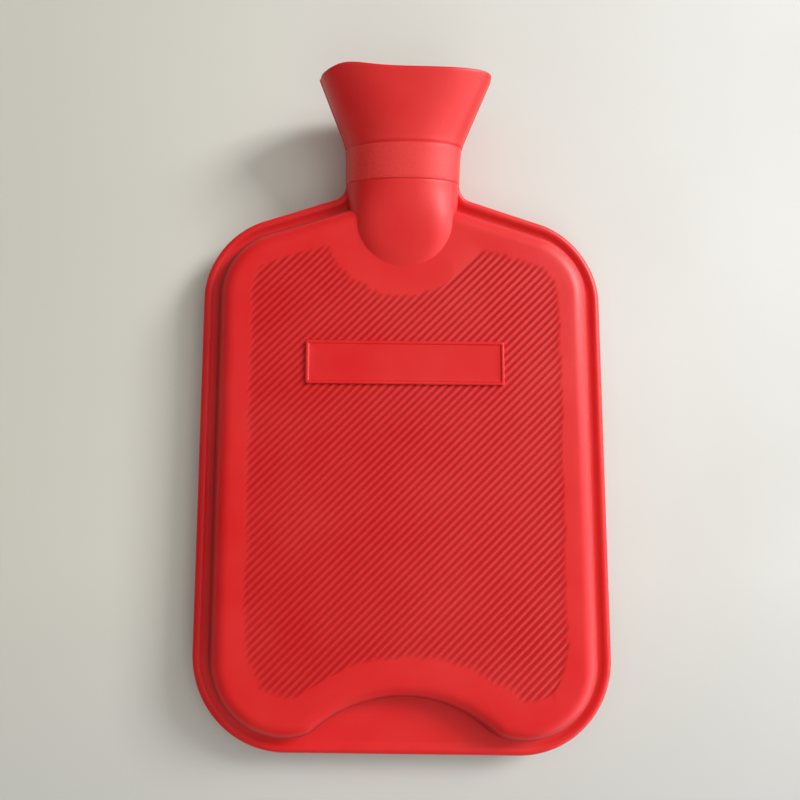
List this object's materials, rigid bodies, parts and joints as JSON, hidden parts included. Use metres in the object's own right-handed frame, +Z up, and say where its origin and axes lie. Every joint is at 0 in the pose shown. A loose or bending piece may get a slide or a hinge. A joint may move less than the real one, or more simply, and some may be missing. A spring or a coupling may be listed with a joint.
{
  "type": "hot water bottle",
  "caption": "Flat rubber bottle with ribbed faces, beaded flange and a funnel neck closed by a screw-in stopper; holds hot water to warm a bed or body.",
  "frame": {"origin": "middle of the bottle's box on the surface that it lies on, under the back panel", "axes": "+Y from the bottom edge towards the mouth, +X across the bottle to the right as seen from the front, +Z up out of the front panel"},
  "size_m": [0.2, 0.328, 0.0557],
  "materials": {
    "bottle_rubber": "satin moulded natural rubber",
    "socket_plastic": "matt moulded plastic",
    "washer_rubber": "matt sealing rubber",
    "stopper_plastic": "semi-gloss moulded plastic"
  },
  "bodies": {
    "bottle": {"rubber_bottle": "bottle_rubber", "neck_socket": "socket_plastic"},
    "washer": {"sealing_washer": "washer_rubber"},
    "stopper": {"screw_stopper": "stopper_plastic"}
  },
  "joints": [
    {"name": "stopper_lift", "type": "slide", "parent": "bottle", "child": "washer", "axis": [0, 0.9703, 0.2419], "range_m": [0, 0.0124]},
    {"name": "stopper_turn", "type": "hinge", "parent": "washer", "child": "stopper", "pos_m": [0, 0.086, 0.015], "axis": [0, 0.9703, 0.2419], "range_deg": [0, 990]}
  ],
  "couplings": [
    {"joint": "stopper_lift", "follows": "stopper_turn", "m_per_rad": 0.0007162}
  ]
}
